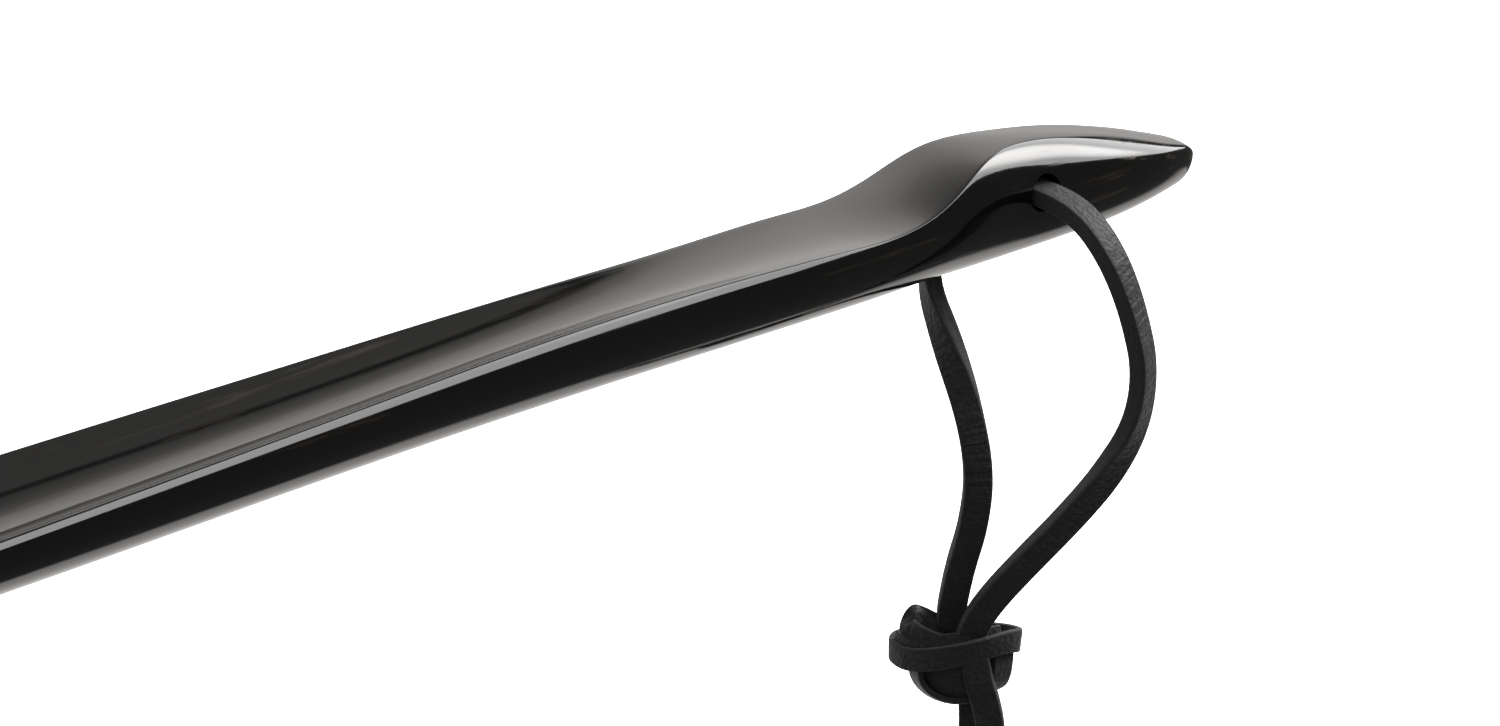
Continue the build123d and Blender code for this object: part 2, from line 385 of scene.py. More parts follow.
@dataclass
class HornForm:
    """The carved horn: gutter blade, channelled shaft, thumb scoop and rounded head."""

    blade_start: float = -120.0
    blade_length: float = 323.0
    blade_end_length: float = 24.0
    blade_lip: float = 1.3
    hole_x: float = 32.0
    hole_z: float = 4.4
    hole_d: float = 5.2
    mouth_round: float = 0.30
    head_start: float = 30.0
    head_length: float = 35.4
    tip_round: float = 4.0
    shaft_crease: float = 0.50
    head_crease: float = 0.20
    crease_change: tuple[float, float] = (-30.0, 12.0)
    head_rings_from: float = -30.0
    sharp_angle: float = 35.0
    ring_below: int = 64
    ring_shoulder: int = 14
    ring_top: int = 40
    guides: dict[str, Callable[[float], float]] = field(default_factory=dict)

    def __post_init__(self) -> None:
        """Draw the guide curves through the stations."""
        stations = self.stations()
        xs = [s.x for s in stations]
        for name in ("half_width", "wide_z", "bottom_z", "crown_z", "top_z", "cup"):
            self.guides[name] = natural_curve(xs, [getattr(s, name) for s in stations])

    @property
    def blade_end(self) -> float:
        """The blade's far end."""
        return self.blade_start - self.blade_length

    @property
    def tip(self) -> float:
        """The head's far end."""
        return self.head_start + self.head_length

    def stations(self) -> list[Station]:
        """The same stations as the solid model's, from the blade's end to the tip."""
        blade, head = self.blade_start, self.head_start
        reach, nose = self.blade_length, self.head_length
        return [
            Station(blade - 1.0 * reach, 21.5, 8.6, 1.0, 10.3, 3.1, 6.8),
            Station(blade - 0.9 * reach, 21.5, 7.1, -1.1, 8.9, 1.3, 6.8),
            Station(blade - 0.775 * reach, 20.5, 5.4, -3.1, 7.3, -0.5, 7.0),
            Station(blade - 0.56 * reach, 18.0, 3.4, -5.5, 5.6, -2.3, 7.0),
            Station(blade - 0.37 * reach, 15.2, 2.5, -6.5, 5.1, -2.5, 6.6),
            Station(blade - 0.185 * reach, 12.6, 2.3, -6.6, 5.7, -1.6, 6.0),
            Station(blade, 10.7, 2.9, -6.1, 7.3, 0.6, 5.0),
            Station(-80, 9.3, 3.5, -5.4, 8.1, 2.3, 4.3),
            Station(-40, 8.2, 3.6, -5.3, 8.7, 4.3, 2.8),
            Station(-20, 8.2, 3.5, -5.4, 8.8, 4.9, 1.5),
            Station(-4, 8.5, 3.7, -5.4, 9.2, 4.8, 1.0),
            Station(6, 8.3, 3.8, -5.4, 10.6, 5.4, 0.2),
            Station(14, 8.1, 4.2, -5.3, 13.2, 7.9, -0.5),
            Station(22, 7.6, 4.6, -5.5, 13.3, 10.8, -0.3),
            Station(head, 6.9, 4.2, -5.6, 12.0, 11.2, -0.9),
            Station(head + 0.28 * nose, 6.8, 4.2, -5.5, 10.1, 9.7, -1.1),
            Station(head + 0.565 * nose, 6.2, 3.8, -5.1, 7.3, 7.2, -1.1),
            Station(head + 0.79 * nose, 4.8, 2.4, -4.1, 4.9, 4.5, -0.7),
            Station(head + 0.93 * nose, 3.1, 1.3, -3.3, 3.3, 2.7, -0.4),
            Station(head + 1.02 * nose, 1.9, 0.6, -2.7, 2.3, 1.5, -0.4),
        ]

    def station_at(self, x: float) -> Station:
        """The cross section at any place along X."""
        return Station(x, *(guide(x) for guide in self.guides.values()))

    def upper(self, s: Station, u: float) -> float:
        """Height of the carved top, its crease softened.

        Args:
            s: the cross section.
            u: the share of the half-width.

        Returns:
            The height in millimetres.
        """
        outer = s.wide_z + (s.crown_z - s.wide_z) * math.sqrt(max(0.0, 1 - u * u))
        carved = s.top_z + s.cup * u * u
        softness = float(np.interp(s.x, self.crease_change, (self.shaft_crease, self.head_crease)))
        return 0.5 * (outer + carved - math.hypot(outer - carved, softness))

    @staticmethod
    def lower(s: Station, u: float) -> float:
        """Height of the rounded underside at a share u of the half-width."""
        return s.wide_z - (s.wide_z - s.bottom_z) * math.sqrt(max(0.0, 1 - u * u))

    def crease_share(self, s: Station) -> float:
        """Share of the half-width at which the carving meets the outer side.

        Args:
            s: the cross section.

        Returns:
            The share, from 0 to 1.
        """
        for u in np.linspace(0.02, 1.0, 393):
            outer = s.wide_z + (s.crown_z - s.wide_z) * math.sqrt(max(0.0, 1 - u * u))
            if outer < s.top_z + s.cup * u * u:
                return float(u)
        return 1.0

    def ring_shares(self, s: Station) -> list[tuple[float, bool]]:
        """The ring's places round one section: share of the half-width, and whether on top.

        Args:
            s: the cross section.

        Returns:
            The places in order round the ring.
        """
        edge = math.acos(min(1.0, self.crease_share(s)))
        below = [(math.cos(a), False) for a in np.linspace(0, math.pi, self.ring_below + 1)]
        rise = edge * (1 - np.cos(np.linspace(0, math.pi, self.ring_shoulder + 1))) / 2
        climb = [(math.cos(a), True) for a in rise[1:]]
        flat = math.cos(edge) * np.cos(np.linspace(0, math.pi, self.ring_top + 1))[1:-1]
        top = climb + [(float(u), True) for u in flat] + [(-u, True) for u, _ in reversed(climb)]
        return below + list(reversed(top))

    def ring_points(self, x: float) -> list[Vector]:
        """The points round the section at x, in metres, the blade's end and the tip rounded.

        Args:
            x: the place along X, in millimetres.

        Returns:
            The points in order round the ring.
        """
        s = self.station_at(x)
        narrowing = self.end_share(self.blade_end + self.blade_end_length - x,
                                   self.blade_end_length)
        thinning = self.end_share(self.blade_end + self.blade_lip - x, self.blade_lip)
        shrink = self.end_share(x - (self.tip - self.tip_round), self.tip_round)
        middle = (s.bottom_z + s.crown_z) / 2
        points = []
        for u, on_top in self.ring_shares(s):
            share = u * narrowing
            high, low = self.upper(s, share), self.lower(s, share)
            nose = math.sqrt(max(0.0, (1 - u ** 12) / max(1e-9, 1 - share ** 12)))
            half = max(0.0, high - low) / 2 * (nose if narrowing < 1 else 1.0) * thinning
            z = (high + low) / 2 + (half if on_top else -half)
            z = middle + (z - middle) * shrink
            points.append(Vector((x, share * s.half_width * shrink, z)) * MM)
        return points

    @staticmethod
    def end_share(past: float, length: float) -> float:
        """Height of a quarter round at a distance past its start, as a share of its start."""
        return math.sqrt(max(0.0, 1 - (max(0.0, past) / length) ** 2))

    def places(self) -> list[float]:
        """Where the rings stand: close together in the head, spread along the shaft.

        Returns:
            The places along X, in millimetres.
        """
        blade_in = self.blade_end + self.blade_end_length
        tip_in = self.tip - self.tip_round
        quarter = np.linspace(0.02, math.pi / 2, 26)
        blade = [blade_in - self.blade_end_length * math.cos(a) for a in quarter]
        shaft = np.linspace(blade_in, self.head_rings_from, 110)[1:]
        head = np.linspace(self.head_rings_from, tip_in, 190)[1:]
        tip = [tip_in + self.tip_round * math.sin(a) for a in np.linspace(0, 1.55, 16)[1:]]
        return [*blade, *(float(x) for x in shaft), *(float(x) for x in head), *tip]

    def loft(self) -> bmesh.types.BMesh:
        """Extrude one ring of points from section to section and close both ends.

        Returns:
            The horn's bmesh.
        """
        bm = bmesh.new()
        places = self.places()
        first = self.ring_points(places[0])
        ring = bmesh.ops.create_circle(bm, segments=len(first), radius=MM)["verts"]
        for vertex, point in zip(ring, first):
            vertex.co = point
        start = list(ring)
        for x in places[1:]:
            edges = [bm.edges.get((a, b)) for a, b in zip(ring, ring[1:] + ring[:1])]
            made = bmesh.ops.extrude_edge_only(bm, edges=edges)["geom"]
            fresh = {v for v in made if isinstance(v, bmesh.types.BMVert)}
            ring = [next(e.other_vert(v) for e in v.link_edges if e.other_vert(v) in fresh)
                    for v in ring]
            for vertex, point in zip(ring, self.ring_points(x)):
                vertex.co = point
        for loop in (start, ring):
            face = bm.faces.new(loop)
            bmesh.ops.poke(bm, faces=[face])
        return bm

    def hole_cutter(self) -> bpy.types.Object:
        """A turned cutter for the cross hole, flared at both mouths.

        Returns:
            The cutter, which is removed once it has cut.
        """
        mouth = self.guides["half_width"](self.hole_x)
        radius = self.hole_d / 2
        quarter = np.linspace(0, math.pi / 2, 7)
        flare = [(radius + self.mouth_round * (1 - math.cos(a)),
                  mouth - self.mouth_round + self.mouth_round * math.sin(a)) for a in quarter]
        flare.append((flare[-1][0], mouth + 3.0))
        profile = [(r, -y) for r, y in reversed(flare)] + flare
        bm = bmesh.new()
        verts = [bm.verts.new((self.hole_x * MM, y * MM, (self.hole_z + r) * MM))
                 for r, y in profile]
        edges = [bm.edges.new(pair) for pair in zip(verts, verts[1:])]
        centre = Vector((self.hole_x, 0, self.hole_z)) * MM
        bmesh.ops.spin(bm, geom=verts + edges, cent=centre, axis=(0, 1, 0), steps=64,
                       angle=2 * math.pi, use_merge=True)
        bmesh.ops.remove_doubles(bm, verts=bm.verts, dist=1e-7)
        bmesh.ops.holes_fill(bm, edges=bm.edges, sides=0)
        return settle(bm, "hole_cutter")

    def build(self, finish: HornFinish) -> bpy.types.Object:
        """Make the polished horn with its cross hole.

        Args:
            finish: the horn's finish.

        Returns:
            The horn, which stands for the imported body.
        """
        horn = settle(self.loft(), "polished_horn")
        cutter = self.hole_cutter()
        cut = horn.modifiers.new("cross_hole", "BOOLEAN")
        cut.object, cut.operation, cut.solver = cutter, "DIFFERENCE", "EXACT"
        graph = bpy.context.evaluated_depsgraph_get()
        drilled = bpy.data.meshes.new_from_object(horn.evaluated_get(graph))
        horn.modifiers.clear()
        horn.data = drilled
        bpy.data.objects.remove(cutter)
        drilled.polygons.foreach_set("use_smooth", [True] * len(drilled.polygons))
        drilled.set_sharp_from_angle(angle=math.radians(self.sharp_angle))
        drilled.materials.append(finish.material())
        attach(horn, Body.HORN.value)
        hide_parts("horn_body")
        return horn


# ---------------------------------------------------------------- the lace


@dataclass
class FlatStrip:
    """One length of flat leather strip, swept along a smooth route given in millimetres."""

    UV_NAME = "strip"
    EDGE_NAME = "cut_edge"
    WRINKLE_NAME = "wrinkle"

    name: str
    route: list[tuple[float, float, float]]
    facing: list[tuple[float, tuple[float, float, float]]]
    wrinkles: list[tuple[float, float]] = field(default_factory=lambda: [(0.0, 0.15)])
    width: float = 4.0
    thickness: float = 2.6
    squareness: float = 7.0
    face_from: float = 0.93
    around: int = 32
    fineness: int = 16

    def line(self) -> list[Vector]:
        """The route's smooth centreline, in metres.

        Returns:
            The points along it.
        """
        curve = bpy.data.curves.new(f"{self.name}_route", "CURVE")
        curve.dimensions, curve.resolution_u = "3D", self.fineness
        spline = curve.splines.new("NURBS")
        spline.points.add(len(self.route) - 1)
        for point, place in zip(spline.points, self.route):
            point.co = (*(Vector(place) * MM), 1.0)
        spline.order_u, spline.use_endpoint_u = 3, True
        holder = bpy.data.objects.new(curve.name, curve)
        bpy.context.scene.collection.objects.link(holder)
        read = bpy.data.meshes.new_from_object(holder)
        points = [v.co.copy() for v in read.vertices]
        bpy.data.objects.remove(holder)
        bpy.data.curves.remove(curve)
        bpy.data.meshes.remove(read)
        return points

    @staticmethod
    def shares(points: list[Vector]) -> np.ndarray:
        """How far along the line each point is, from 0 to 1.

        Args:
            points: the centreline.

        Returns:
            One share for each point.
        """
        steps = [(b - a).length for a, b in zip(points, points[1:])]
        run = np.concatenate([[0.0], np.cumsum(steps)])
        return run / run[-1]

    def frames(self, points: list[Vector]) -> list[tuple[Vector, Vector]]:
        """The strip's width and facing directions at each point of its line.

        Args:
            points: the centreline.

        Returns:
            Two unit directions for each point: along the width, and out of the broad face.
        """
        ends = [points[0], *points, points[-1]]
        tangents = [(c - a).normalized() for a, c in zip(ends, ends[2:])]
        carried = [tangents[0].orthogonal().normalized()]
        for before, after in zip(tangents, tangents[1:]):
            carried.append((before.rotation_difference(after) @ carried[-1]).normalized())
        shares = self.shares(points)
        places, turns = [], []
        for share, direction in self.facing:
            i = int(np.argmin(abs(shares - share)))
            sideways = tangents[i].cross(carried[i])
            turn = math.atan2(Vector(direction).dot(sideways), Vector(direction).dot(carried[i]))
            if turns:
                turn += 2 * math.pi * round((turns[-1] - turn) / (2 * math.pi))
            places.append(share)
            turns.append(turn)
        twist = natural_curve(places, turns)
        result = []
        for share, tangent, side in zip(shares, tangents, carried):
            out = Matrix.Rotation(twist(min(max(share, places[0]), places[-1])), 3, tangent) @ side
            result.append((tangent.cross(out).normalized(), out.normalized()))
        return result

    def sweep_into(self, bm: bmesh.types.BMesh) -> list[Vector]:
        """Sweep the strip's rounded section along its line and close both ends.

        Args:
            bm: the bmesh that takes the strip.

        Returns:
            The centreline that the strip follows.
        """
        points = self.line()
        frames, shares = self.frames(points), self.shares(points)
        total = sum((b - a).length for a, b in zip(points, points[1:])) / MM
        uv = bm.loops.layers.uv.get(self.UV_NAME) or bm.loops.layers.uv.new(self.UV_NAME)
        edge = (bm.verts.layers.float.get(self.EDGE_NAME)
                or bm.verts.layers.float.new(self.EDGE_NAME))
        worn = (bm.verts.layers.float.get(self.WRINKLE_NAME)
                or bm.verts.layers.float.new(self.WRINKLE_NAME))
        power = 2 / self.squareness
        turns = [2 * math.pi * (k + 0.5) / self.around for k in range(self.around)]
        across = [math.copysign(abs(math.cos(t)) ** power, math.cos(t)) for t in turns]
        proud = [math.copysign(abs(math.sin(t)) ** power, math.sin(t)) for t in turns]
        ring = list(bmesh.ops.create_circle(bm, segments=self.around, radius=MM)["verts"])
        order = {v: k for k, v in enumerate(ring)}
        rings = []
        for n, (point, (wide, out), share) in enumerate(zip(points, frames, shares)):
            if n:
                edges = [bm.edges.get((a, b)) for a, b in zip(ring, ring[1:] + ring[:1])]
                made = bmesh.ops.extrude_edge_only(bm, edges=edges)["geom"]
                fresh = {v for v in made if isinstance(v, bmesh.types.BMVert)}
                ring = [next(e.other_vert(v) for e in v.link_edges if e.other_vert(v) in fresh)
                        for v in ring]
                order.update({v: k for k, v in enumerate(ring)})
            worn_here = float(np.interp(share, *zip(*self.wrinkles)))
            for k, vertex in enumerate(ring):
                vertex.co = (point + wide * across[k] * self.width / 2 * MM
                             + out * proud[k] * self.thickness / 2 * MM)
                vertex[edge] = 1.0 if abs(proud[k]) < self.face_from else 0.0
                vertex[worn] = worn_here
            rings.append(ring)
        far_along = {v: share * total for loop, share in zip(rings, shares) for v in loop}
        for face in {f for loop in rings for v in loop for f in v.link_faces}:
            for corner in face.loops:
                corner[uv].uv = (far_along[corner.vert],
                                 order[corner.vert] * 2 * (self.width + self.thickness)
                                 / self.around)
        for loop in (rings[0], rings[-1]):
            bmesh.ops.poke(bm, faces=[bm.faces.new(loop)])
        return points


@dataclass
class Lace:
    """The hanging lace: two legs from the cross hole to the knot, and two loose tails."""

    width: float = 4.0
    thickness: float = 2.6

    def front_leg(self) -> FlatStrip:
        """The leg that comes out of the near mouth, swings wide and drops into the knot."""
        return FlatStrip("strip_front_leg", [
            (32, 0.1, 4.1), (32, -4.6, 4.1), (32, -10.0, 4.1), (32.2, -13.9, 3.0),
            (32.5, -17.2, 0.6), (33.4, -19.8, -3.6), (34.9, -21.2, -9.6), (36.6, -21.8, -17.3),
            (37.2, -20.0, -26.0), (36.2, -15.8, -34.5), (34.3, -10.4, -42.5),
            (31.9, -5.2, -49.7), (29.3, -0.6, -56.6), (28.1, 1.9, -61.5), (27.8, 2.6, -65.0),
        ], facing=[(0.0, (0, 0, 1)), (0.12, (0, 0, 1)), (0.32, (0.25, -0.80, 0.50)),
                   (0.50, (0.12, -0.98, 0.1)), (0.62, (-0.34, -0.92, 0.1)),
                   (0.75, (-0.45, -0.87, 0.0)), (0.88, (-0.55, -0.78, 0.0)),
                   (1.0, (-0.62, -0.75, 0))],
            wrinkles=[(0.0, 0.1), (0.22, 0.2), (0.34, 0.8), (0.44, 0.2), (1.0, 0.05)],
            width=self.width, thickness=self.thickness)

    def rear_leg(self) -> FlatStrip:
        """The leg that comes out of the far mouth and hangs behind the horn."""
        return FlatStrip("strip_rear_leg", [
            (32, -0.1, 4.1), (32, 3.4, 4.1), (32, 11.6, 4.1), (30.4, 12.9, -5.4),
            (28.6, 13.0, -13.3), (27.8, 7.6, -20.7), (27.3, 2.6, -28.7), (27.1, -0.1, -37.0),
            (27.0, 0.8, -45.0), (27.1, 3.6, -52.7), (27.8, 5.9, -59.8), (28.0, 6.2, -61.5),
            (28.0, 6.4, -65.0),
        ], facing=[(0.0, (0, 0, 1)), (0.10, (0, 0, 1)), (0.25, (-0.67, 0.74, 0)),
                   (0.40, (-0.95, 0.19, 0.2)), (0.52, (-0.75, -0.6, 0.2)),
                   (0.64, (-0.6, -0.8, 0)), (1.0, (-0.64, -0.77, 0))],
            wrinkles=[(0.0, 0.1), (0.55, 0.2), (0.62, 1.0), (0.78, 0.9), (0.86, 0.3), (1.0, 0.3)],
            width=self.width, thickness=self.thickness)

    def front_tail(self) -> FlatStrip:
        """The near loose end below the knot."""
        return FlatStrip("strip_front_tail", [
            (27.7, 0.9, -65.6), (27.9, 0.4, -68.7), (28.9, -0.1, -72.2), (30.8, 0.7, -77.0),
            (31.4, 1.0, -82.6), (31.5, 0.4, -89.4), (32.2, -1.2, -97.2), (32.6, -3.8, -104.6),
        ], facing=[(0.0, (-0.64, -0.77, 0)), (0.5, (-0.68, -0.73, 0)), (1.0, (-0.45, -0.85, 0))],
            width=self.width, thickness=self.thickness)

    def rear_tail(self) -> FlatStrip:
        """The far loose end below the knot."""
        return FlatStrip("strip_rear_tail", [
            (31.0, 5.9, -71.0), (32.0, 5.9, -74.0), (32.3, 5.9, -80.4), (31.8, 6.3, -88.2),
            (32.1, 5.4, -96.4), (33.0, 3.6, -103.6),
        ], facing=[(0.0, (-0.64, -0.77, 0)), (1.0, (-0.8, -0.6, 0))],
            width=self.width, thickness=self.thickness)

    def dress(self, strip: FlatStrip, leather: bpy.types.Material, nodes: list[str]) -> bpy.types.Object:
        """Args:
            strip: the length to sweep.
            leather: its material.
            nodes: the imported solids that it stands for.

        Returns:
            The finished piece.
        """
        bm = bmesh.new()
        points = strip.sweep_into(bm)
        piece = settle(bm, strip.name)
        piece.data.materials.append(leather)
        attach(piece, Body.LACE.value)
        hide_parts(*nodes)
        return piece


@dataclass
class Knot:
    """The knot that ties both legs together: folded lengths of strip round two solid cores."""

    centre: tuple[float, float, float] = (28.5, 5.9, -67.15)
    turned: float = -40.0
    core: tuple[float, float, float] = (6.1, 4.4, 5.2)
    core_place: tuple[float, float, float] = (0.6, 0.6, -1.3)
    nest: tuple[float, float, float] = (7.4, 3.7, 2.2)
    nest_place: tuple[float, float, float] = (0.4, 0.6, 1.6)

    def placed(self, across: float, near: float, up: float) -> tuple[float, float, float]:
        """A point given across, towards the near side and up from the knot's middle.

        Args:
            across: millimetres across the view of the knot.
            near: millimetres towards the near side.
            up: millimetres up.

        Returns:
            The point, in millimetres.
        """
        turn = math.radians(self.turned)
        return (self.centre[0] + across * math.cos(turn) + near * math.sin(turn),
                self.centre[1] + across * math.sin(turn) - near * math.cos(turn),
                self.centre[2] + up)

    def aimed(self, across: float, near: float, up: float) -> tuple[float, float, float]:
        """A direction given across, towards the near side and up.

        Args:
            across: its part across.
            near: its part towards the near side.
            up: its part up.

        Returns:
            The direction.
        """
        turn = math.radians(self.turned)
        return (across * math.cos(turn) + near * math.sin(turn),
                across * math.sin(turn) - near * math.cos(turn), up)

    def wraps(self) -> list[FlatStrip]:
        """The folded lengths that show on the knot's outside.

        Returns:
            The five lengths.
        """
        waist = FlatStrip("waist", [self.placed(*p) for p in (
            (-3.0, -4.4, 0.9), (-7.6, -3.2, 0.6), (-8.9, -1.2, 0.5), (-8.6, 0.6, 0.4),
            (-6.8, 3.0, 0.4), (-3.8, 4.8, 1.2), (0.0, 5.7, 2.3), (4.2, 5.4, 3.4),
            (7.6, 3.6, 3.6), (9.0, 1.6, 2.7), (8.4, -1.2, 1.9), (6.0, -3.4, 1.3),
            (2.0, -4.6, 1.0), (-3.0, -4.5, 0.9))],
            facing=[(0.0, self.aimed(-0.3, -0.9, 0)), (0.16, self.aimed(-1, -0.1, 0)),
                    (0.34, self.aimed(-0.5, 0.9, 0.1)), (0.50, self.aimed(0.1, 1, -0.1)),
                    (0.68, self.aimed(0.95, 0.3, 0)), (0.84, self.aimed(0.5, -0.8, 0)),
                    (1.0, self.aimed(-0.1, -1, 0))], width=3.3, thickness=0.9)
        shoulder = FlatStrip("shoulder", [self.placed(*p) for p in (
            (-1.4, 0.6, 4.0), (-3.3, 0.4, 5.0), (-5.3, 0.4, 6.1), (-5.5, 0.5, 6.2),
            (-6.5, 1.4, 4.9), (-6.5, 1.6, 4.7), (-5.0, 2.7, 4.2), (-3.2, 3.7, 3.4),
            (-0.6, 4.4, 2.8),
            (3.0, 4.4, 2.2))],
            facing=[(0.0, self.aimed(-0.2, 0.75, 0.6)), (0.30, self.aimed(-0.2, 0.8, 0.5)),
                    (0.46, self.aimed(-0.9, 0.4, 0.1)), (0.62, self.aimed(-0.4, 0.9, 0.25)),
                    (1.0, self.aimed(0.1, 1, 0.25))], width=2.9, thickness=0.9)
        bowl = FlatStrip("bowl", [self.placed(*p) for p in (
            (-5.2, 1.6, 1.4), (-5.7, 2.0, -1.6), (-4.7, 2.3, -4.2), (-2.1, 2.4, -6.0),
            (1.2, 2.2, -6.6), (4.0, 1.4, -5.6), (5.4, 0.4, -2.8))],
            facing=[(0.0, self.aimed(-1, 0.3, 0)), (0.5, self.aimed(-0.4, 0.5, -0.9)),
                    (1.0, self.aimed(0.9, 0.3, -0.3))], width=4.4, thickness=0.9)
        hip = FlatStrip("hip", [self.placed(*p) for p in (
            (6.6, 2.6, 2.4), (6.5, 2.8, -0.4), (6.2, 2.6, -2.6), (5.6, 1.6, -4.6),
            (3.4, -0.4, -6.0), (0.6, -1.4, -5.8))],
            facing=[(0.0, self.aimed(0.6, 0.8, 0)), (0.45, self.aimed(0.6, 0.8, -0.2)),
                    (1.0, self.aimed(0.2, 0.2, -1))], width=3.4, thickness=1.2)
        crossing = FlatStrip("crossing", [self.placed(*p) for p in (
            (-8.0, -0.6, 1.7), (-7.5, 1.0, 1.7), (-4.8, 3.1, 2.3), (-1.0, 4.3, 3.3),
            (2.8, 4.4, 4.0), (6.2, 2.8, 4.0))],
            facing=[(0.0, self.aimed(-0.9, 0.5, 0.1)), (0.4, self.aimed(-0.4, 0.9, 0.25)),
                    (1.0, self.aimed(0.4, 0.9, 0.3))], width=3.1, thickness=0.9)
        return [waist, shoulder, bowl, hip, crossing]

    def build(self, leather: bpy.types.Material) -> bpy.types.Object:
        """Make the knot.

        Args:
            leather: the lace's material.

        Returns:
            The knot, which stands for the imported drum.
        """
        bm = bmesh.new()
        for strip in self.wraps():
            strip.sweep_into(bm)
        turn = Matrix.Rotation(math.radians(self.turned), 4, "Z")
        for at, radii in ((self.core_place, self.core), (self.nest_place, self.nest)):
            place = (Matrix.Translation(Vector(self.placed(*at)) * MM) @ turn
                     @ Matrix.Diagonal((*(Vector(radii) * MM), 1.0)))
            bmesh.ops.create_icosphere(bm, subdivisions=4, radius=1.0, matrix=place)
        knot = settle(bm, "hanging_knot")
        knot.data.materials.append(leather)
        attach(knot, Body.LACE.value)
        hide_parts("lace_knot")
        LOG.info("%s: %d folded lengths", knot.name, len(self.wraps()))
        return knot


# ---------------------------------------------------------------- the studio


@dataclass
class Studio:
    """Camera, room light, a softbox, a fill light and a plain pale floor."""

    camera_place: tuple[float, float, float] = (-416.1, -479.6, 255.9)
    azimuth: float = -40.0
    elevation: float = 23.0
    lens: float = 126.0
    floor_z: float = -112.0
    paper_top: float = 2.4
    paper_levels: tuple[tuple[float, float], ...] = (
        (-90.0, 0.9), (-20.0, 0.6), (-5.0, 0.75), (10.0, 1.3), (25.0, 1.5), (35.0, 1.6),
        (45.0, 1.1), (55.0, 0.6), (65.0, 0.4), (90.0, 0.3))
    table_level: float = 1.1
    room_level: float = 0.12
    ceiling_level: float = 0.5
    glow_place: tuple[float, float] = (68.0, 36.0)
    glow_width: tuple[float, float] = (17.0, 3.0)
    glow_level: float = 8.0
    paper_right: tuple[float, float] = (24.0, 16.0)
    paper_left: tuple[float, float] = (-120.0, -80.0)
    table_under: tuple[float, float] = (-28.0, -32.0)
    table_right: tuple[float, float] = (57.0, 43.0)
    table_left: tuple[float, float] = (-90.0, -45.0)
    ceiling_over: tuple[float, float] = (38.0, 60.0)
    ceiling_left: tuple[float, float] = (25.0, 17.0)
    ceiling_right: tuple[float, float] = (25.0, 32.0)
    warmth: tuple[float, float, float] = (1.0, 0.975, 0.95)
    softbox_around: tuple[float, float] = (32.0, 106.0)
    softbox_rise: tuple[float, float] = (18.5, 58.0)
    softbox_level: float = 5.6
    softbox_lean: float = 13.0
    fill_around: tuple[float, float] = (150.0, 240.0)
    fill_rise: tuple[float, float] = (-5.0, 65.0)
    fill_level: float = 0.45

    def camera(self) -> bpy.types.Object:
        """Set the camera.

        Returns:
            The camera.
        """
        data = bpy.data.cameras.new("camera")
        data.lens, data.sensor_width = self.lens, 36.0
        data.clip_start, data.clip_end = 0.01, 50.0
        camera = bpy.data.objects.new("camera", data)
        camera.location = Vector(self.camera_place) * MM
        camera.rotation_euler = (math.radians(90 - self.elevation), 0, math.radians(self.azimuth))
        bpy.context.scene.collection.objects.link(camera)
        bpy.context.scene.camera = camera
        return camera

    def surround(self) -> None:
        """Light the room: bright paper beyond, a pale table below, a soft ceiling, dark in front.

        The camera itself sees plain white all round.
        """
        world = bpy.data.worlds.new("studio")
        bpy.context.scene.world = world
        world.use_nodes = True
        desk = NodeDesk(world.node_tree)
        look = desk.add("ShaderNodeTexCoord").outputs["Generated"]
        turn = math.radians(self.azimuth)
        beyond = (-math.sin(turn), math.cos(turn), 0)
        behind = desk.add("ShaderNodeVectorMath", {0: look, 1: beyond},
                          operation="DOT_PRODUCT").outputs["Value"]
        right = desk.add("ShaderNodeVectorMath", {0: look, 1: (math.cos(turn), math.sin(turn), 0)},
                         operation="DOT_PRODUCT").outputs["Value"]
        height = desk.add("ShaderNodeSeparateXYZ", {0: look}).outputs["Z"]
        around = desk.math("MULTIPLY", desk.math("ARCTAN2", right, behind), 180 / math.pi)
        rise = desk.math("MULTIPLY", desk.math("ARCSINE", height), 180 / math.pi)
        paper = desk.math("MULTIPLY", desk.ramp(around, *self.paper_right),
                          desk.ramp(around, *self.paper_left))
        upright = desk.ramp(rise, -90.0, 90.0, smooth=False)
        top = desk.add("ShaderNodeFloatCurve", {"Value": upright})
        curve = top.mapping.curves[0]
        for angle, level in self.paper_levels[1:-1]:
            curve.points.new((angle + 90) / 180, level / self.paper_top)
        curve.points[0].location = (0.0, self.paper_levels[0][1] / self.paper_top)
        curve.points[-1].location = (1.0, self.paper_levels[-1][1] / self.paper_top)
        top.mapping.update()
        wall = desk.math("MULTIPLY", desk.math("MULTIPLY", top.outputs[0], self.paper_top), paper)
        table = desk.math("MULTIPLY", desk.ramp(rise, *self.table_under), desk.math(
            "MULTIPLY", desk.ramp(around, *self.table_right), desk.ramp(around, *self.table_left)))
        strength = desk.math("MAXIMUM", wall, desk.math("MULTIPLY", table, self.table_level))
        sides = desk.math("MAXIMUM", desk.ramp(around, *self.ceiling_left),
                          desk.ramp(around, *self.ceiling_right))
        ceiling = desk.math("MULTIPLY", desk.ramp(rise, *self.ceiling_over),
                            desk.math("MULTIPLY", sides, self.ceiling_level))
        strength = desk.math("MAXIMUM", strength, desk.math("MAXIMUM", ceiling, self.room_level))
        strength = desk.math("ADD", strength, self.glow(desk, look))
        seen = desk.add("ShaderNodeLightPath").outputs["Is Camera Ray"]
        total = desk.math("ADD", desk.math("MULTIPLY", strength, desk.math("SUBTRACT", 1.0, seen)),
                          seen)
        light = desk.add("ShaderNodeBackground", {"Color": (*self.warmth, 1.0),
                                                  "Strength": total})
        desk.add("ShaderNodeOutputWorld", {"Surface": light.outputs[0]})

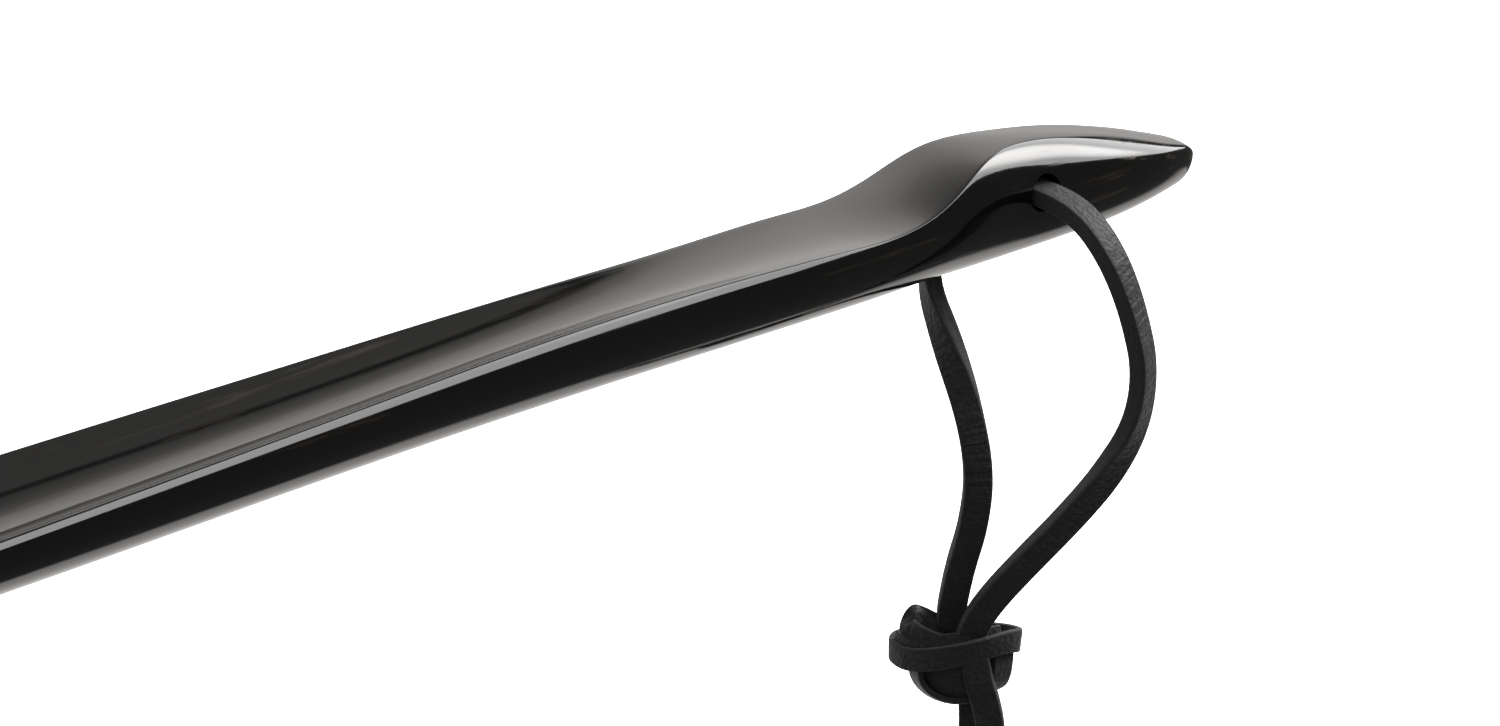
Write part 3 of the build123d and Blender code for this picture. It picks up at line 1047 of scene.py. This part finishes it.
    def glow(self, desk: NodeDesk, look: bpy.types.NodeSocket) -> bpy.types.NodeSocket:
        """The soft light's bright middle, as a smooth round glow in the room's light.

        Args:
            desk: the world's node desk.
            look: the direction that is looked in.

        Returns:
            The glow's strength, as a socket.
        """
        side = math.radians(self.glow_place[0] - self.azimuth)
        lift = math.radians(self.glow_place[1])
        centre = (math.sin(side) * math.cos(lift), math.cos(side) * math.cos(lift), math.sin(lift))
        facing = desk.add("ShaderNodeVectorMath", {0: look, 1: centre},
                          operation="DOT_PRODUCT").outputs["Value"]
        outer, inner = (math.cos(math.radians(a)) for a in self.glow_width)
        return desk.math("MULTIPLY", desk.ramp(facing, outer, inner), self.glow_level)

    def softbox(self, name: str, around: tuple[float, float], rise: tuple[float, float],
                level: float, lean: float = 0.0, away: float = 3.0) -> bpy.types.Object:
        """Hang a large rectangular soft light that faces the horn.

        Args:
            name: the light's name.
            around: its left and right edges, in degrees to the right of straight beyond.
            rise: its lower and upper edges, in degrees above the table.
            level: how bright its face is.
            lean: how far it is turned about its own aim, in degrees.
            away: how far off it hangs, in metres.

        Returns:
            The light.
        """
        width = 2 * away * math.tan(math.radians(around[1] - around[0]) / 2)
        height = 2 * away * math.tan(math.radians(rise[1] - rise[0]) / 2)
        data = bpy.data.lights.new(name, "AREA")
        data.shape, data.size, data.size_y = "RECTANGLE", width, height
        data.energy = level * math.pi * width * height
        light = bpy.data.objects.new(name, data)
        side = math.radians(sum(around) / 2 - self.azimuth)
        lift = math.radians(sum(rise) / 2)
        light.location = away * Vector((math.sin(side) * math.cos(lift),
                                        math.cos(side) * math.cos(lift), math.sin(lift)))
        aimed = (-Vector(light.location)).to_track_quat("-Z", "Y").to_matrix()
        light.rotation_euler = (aimed @ Matrix.Rotation(math.radians(-lean), 3, "Z")).to_euler()
        light.visible_camera = False
        bpy.context.scene.collection.objects.link(light)
        return light

    def floor(self, finish: FloorFinish) -> bpy.types.Object:
        """Lay the floor.

        Args:
            finish: the floor's finish.

        Returns:
            The floor.
        """
        bm = bmesh.new()
        bmesh.ops.create_grid(bm, x_segments=8, y_segments=8, size=6.0,
                              matrix=Matrix.Translation((0, 0, self.floor_z * MM)))
        floor = settle(bm, "floor", smooth=False)
        floor.data.materials.append(finish.material())
        floor.visible_glossy = False
        floor.visible_diffuse = False
        return floor

    def set_up(self) -> None:
        """Place everything that isn't part of the object."""
        self.camera()
        self.surround()
        self.floor(FloorFinish())
        self.softbox("softbox_right", self.softbox_around, self.softbox_rise,
                     self.softbox_level, lean=self.softbox_lean)
        fill = self.softbox("fill_front", self.fill_around, self.fill_rise, self.fill_level)
        fill.visible_glossy = False
        view = bpy.context.scene.view_settings
        view.view_transform, view.look = "Standard", "None"
        LOG.info("studio set")


def main() -> None:
    """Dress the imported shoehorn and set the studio."""
    logging.basicConfig(level=logging.INFO, format="%(message)s")
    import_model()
    Studio().set_up()
    leather = LeatherFinish().material()
    horn = HornForm().build(HornFinish())
    LOG.info("%s: %d faces", horn.name, len(horn.data.polygons))
    lace = Lace()
    knot = Knot().build(leather)
    lace.dress(lace.front_leg(), leather, ["lace_front_leg", "lace_through_hole"])
    lace.dress(lace.rear_leg(), leather, ["lace_rear_leg"])
    lace.dress(lace.front_tail(), leather, ["lace_front_tail"])
    lace.dress(lace.rear_tail(), leather, ["lace_rear_tail"])


if __name__ == "__main__":
    main()
